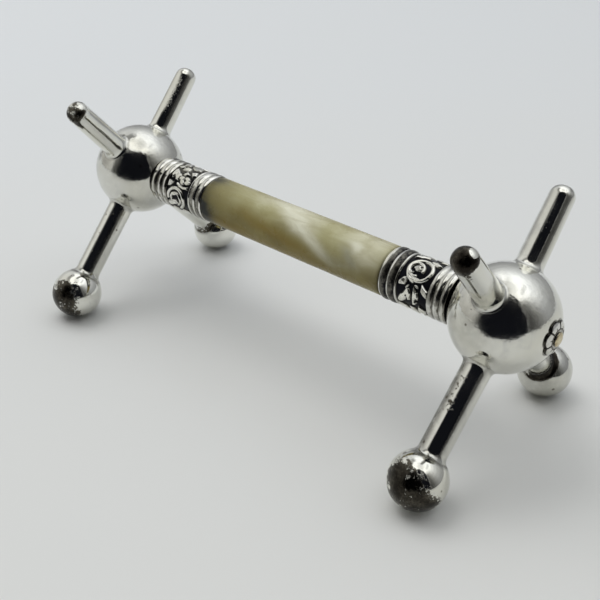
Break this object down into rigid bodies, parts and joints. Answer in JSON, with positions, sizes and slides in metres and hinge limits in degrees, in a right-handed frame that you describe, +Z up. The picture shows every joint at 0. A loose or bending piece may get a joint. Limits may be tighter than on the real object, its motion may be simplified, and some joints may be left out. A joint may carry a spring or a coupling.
{
  "type": "knife rest",
  "caption": "Table knife rest: a round pearl bar with embossed ferrules between plated balls on ball-footed legs, with prongs above the ends that keep cutlery on the bar.",
  "frame": {"origin": "on the table, under the middle of the bar", "axes": "+X along the bar towards its right end as seen from the front, +Y to the back, +Z up"},
  "size_m": [0.0956, 0.0446, 0.0393],
  "materials": {
    "silver_plate": "polished",
    "oxidised_relief": "satin",
    "mother_of_pearl": "gloss",
    "brass": "polished",
    "rod_steel": "satin"
  },
  "bodies": {
    "root": {"tie_rod": "rod_steel", "handle_bar": "mother_of_pearl", "ferrule_left": "oxidised_relief", "ball_left_front_half": "silver_plate", "prong_left_front": "silver_plate", "leg_left_front": "silver_plate", "foot_left_front": "silver_plate", "ball_left_back_half": "silver_plate", "prong_left_back": "silver_plate", "leg_left_back": "silver_plate", "foot_left_back": "silver_plate", "rosette_left": "silver_plate", "end_nut_left": "brass", "ferrule_right": "oxidised_relief", "ball_right_front_half": "silver_plate", "prong_right_front": "silver_plate", "leg_right_front": "silver_plate", "foot_right_front": "silver_plate", "ball_right_back_half": "silver_plate", "prong_right_back": "silver_plate", "leg_right_back": "silver_plate", "foot_right_back": "silver_plate", "rosette_right": "silver_plate", "end_nut_right": "brass"}
  },
  "joints": []
}
